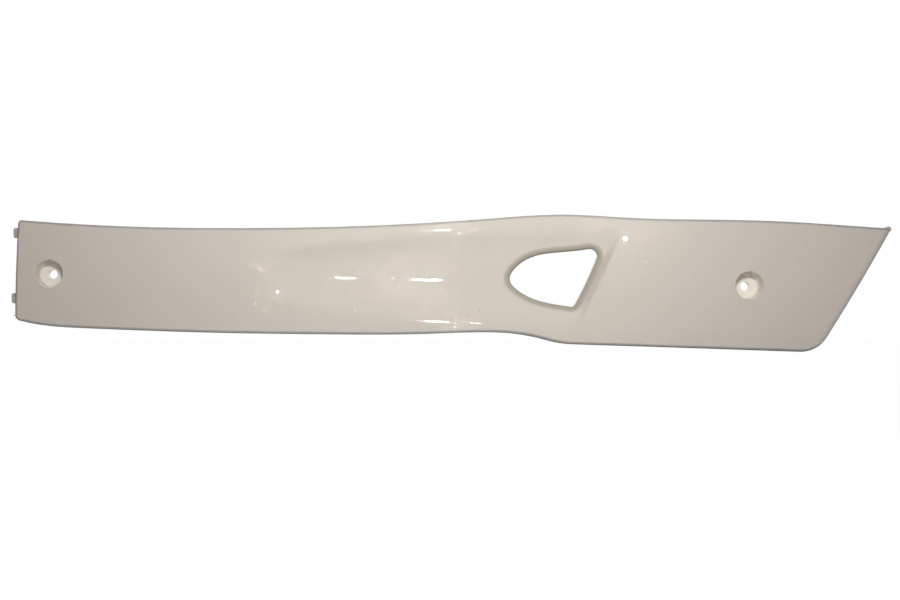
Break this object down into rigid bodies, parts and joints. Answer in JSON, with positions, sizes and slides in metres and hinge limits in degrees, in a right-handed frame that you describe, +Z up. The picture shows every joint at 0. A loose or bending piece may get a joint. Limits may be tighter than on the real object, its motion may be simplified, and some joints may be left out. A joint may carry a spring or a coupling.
{
  "type": "scooter floorboard side panel",
  "caption": "Long glossy moulded side panel for a scooter floorboard, with an air scoop running into a three-sided opening, recessed screw seats and a slanted rear end.",
  "frame": {"origin": "centre of the front screw seat, on the floor of its recess", "axes": "+X along the panel towards its slanted rear end, +Z up as fitted, -Y outward from the vehicle"},
  "size_m": [0.6844, 0.035, 0.1064],
  "materials": {
    "ivory_gloss": "glossy ivory paint on moulded plastic"
  },
  "bodies": {
    "root": {"floorboard_panel": "ivory_gloss"}
  },
  "joints": []
}
